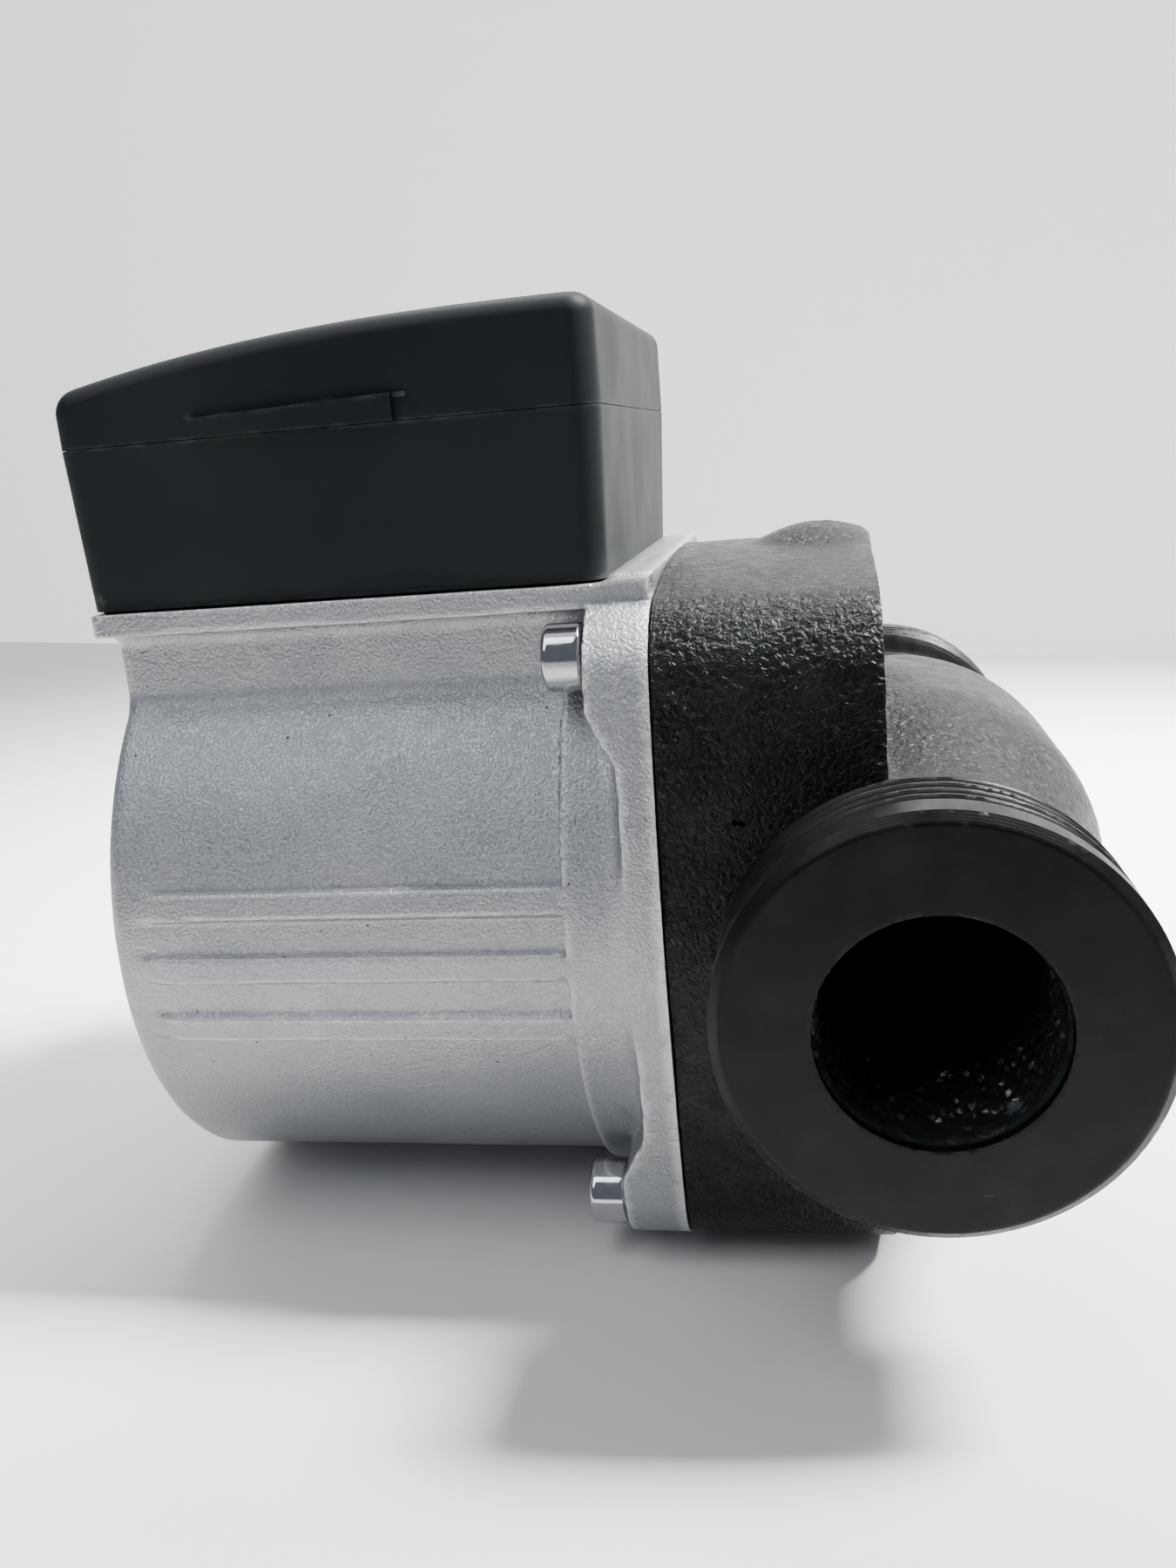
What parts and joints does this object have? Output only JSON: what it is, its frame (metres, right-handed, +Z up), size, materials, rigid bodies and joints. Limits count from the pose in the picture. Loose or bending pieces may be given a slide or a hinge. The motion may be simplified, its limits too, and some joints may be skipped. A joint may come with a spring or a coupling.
{
  "type": "circulator pump",
  "caption": "In-line wet-rotor circulator pump: black cast housing with threaded ports, silver canned motor, terminal box with arched lid on top.",
  "frame": {"origin": "middle of the pump's length and width, on the surface it stands on", "axes": "+X along the shaft from the motor end to the pipe side, Y along the pipe line (suction port towards -Y, delivery port towards +Y), +Z up through the terminal box"},
  "size_m": [0.139, 0.13, 0.1237],
  "materials": {
    "die_cast": "fine blasted die casting, satin",
    "cast_iron": "black dip coating over a coarse casting, semi-gloss; ports machined",
    "box_plastic": "fine spark-eroded satin",
    "plated_steel": "bright plated",
    "stainless": "drawn or turned stainless steel",
    "brass": "turned",
    "copper_winding": "varnished winding",
    "stator_iron": "stacked laminations",
    "ceramic": "ground ceramic",
    "carbon": "carbon graphite",
    "seal_rubber": "matte",
    "composite": "glass-filled plastic",
    "pale_plastic": "moulded",
    "grey_plastic": "moulded",
    "plate": "brushed, blank",
    "wire_sleeve": "insulation"
  },
  "bodies": {
    "pump_body": {"motor_housing": "die_cast", "pump_housing": "cast_iron", "terminal_box_base": "box_plastic", "gland_body": "box_plastic", "gland_nut": "box_plastic", "flange_bolt_1": "plated_steel", "flange_bolt_2": "plated_steel", "flange_bolt_3": "plated_steel", "flange_bolt_4": "plated_steel", "wear_ring": "stainless", "rotor_can": "stainless", "bearing_plate": "stainless", "box_screw_1": "stainless", "box_screw_2": "stainless", "earth_screw": "brass", "terminal_screw_1": "brass", "terminal_screw_2": "brass", "terminal_screw_3": "brass", "stator_winding": "copper_winding", "stator_core": "stator_iron", "front_bearing": "carbon", "rear_bearing": "carbon", "housing_o_ring": "seal_rubber", "gland_seal": "seal_rubber", "box_gasket": "seal_rubber", "lead_grommet": "seal_rubber", "terminal_block": "pale_plastic", "capacitor_clip": "pale_plastic", "capacitor": "grey_plastic", "speed_switch": "grey_plastic", "gland_locknut": "grey_plastic", "nameplate": "plate", "stator_leads": "wire_sleeve"},
    "rotor": {"shaft": "ceramic", "rotor_core": "stainless", "impeller": "composite", "impeller_shroud": "composite", "thrust_ring": "ceramic"},
    "selector": {"speed_knob": "box_plastic"},
    "vent_washer": {"vent_seal": "seal_rubber"},
    "vent_plug": {"vent_screw": "plated_steel"},
    "lid": {"terminal_box_lid": "box_plastic", "lid_screw": "plated_steel"}
  },
  "joints": [
    {"name": "rotor_spin", "type": "hinge", "parent": "pump_body", "child": "rotor", "pos_m": [0.013, 0, 0.0452], "axis": [1, 0, 0], "continuous": true},
    {"name": "speed_select", "type": "hinge", "parent": "pump_body", "child": "selector", "pos_m": [-0.0617, 0, 0.1012], "axis": [-1, 0, 0], "range_deg": [-45, 45]},
    {"name": "vent_travel", "type": "slide", "parent": "pump_body", "child": "vent_washer", "axis": [-1, 0, 0], "range_m": [0, 0.0046]},
    {"name": "vent_turn", "type": "hinge", "parent": "vent_washer", "child": "vent_plug", "pos_m": [-0.061, 0, 0.0452], "axis": [-1, 0, 0], "range_deg": [0, 1080]},
    {"name": "lid_lift", "type": "slide", "parent": "pump_body", "child": "lid", "axis": [0, 0, 1], "range_m": [0, 0.04]}
  ],
  "couplings": [
    {"joint": "vent_travel", "follows": "vent_turn", "m_per_rad": 0.00023873}
  ]
}
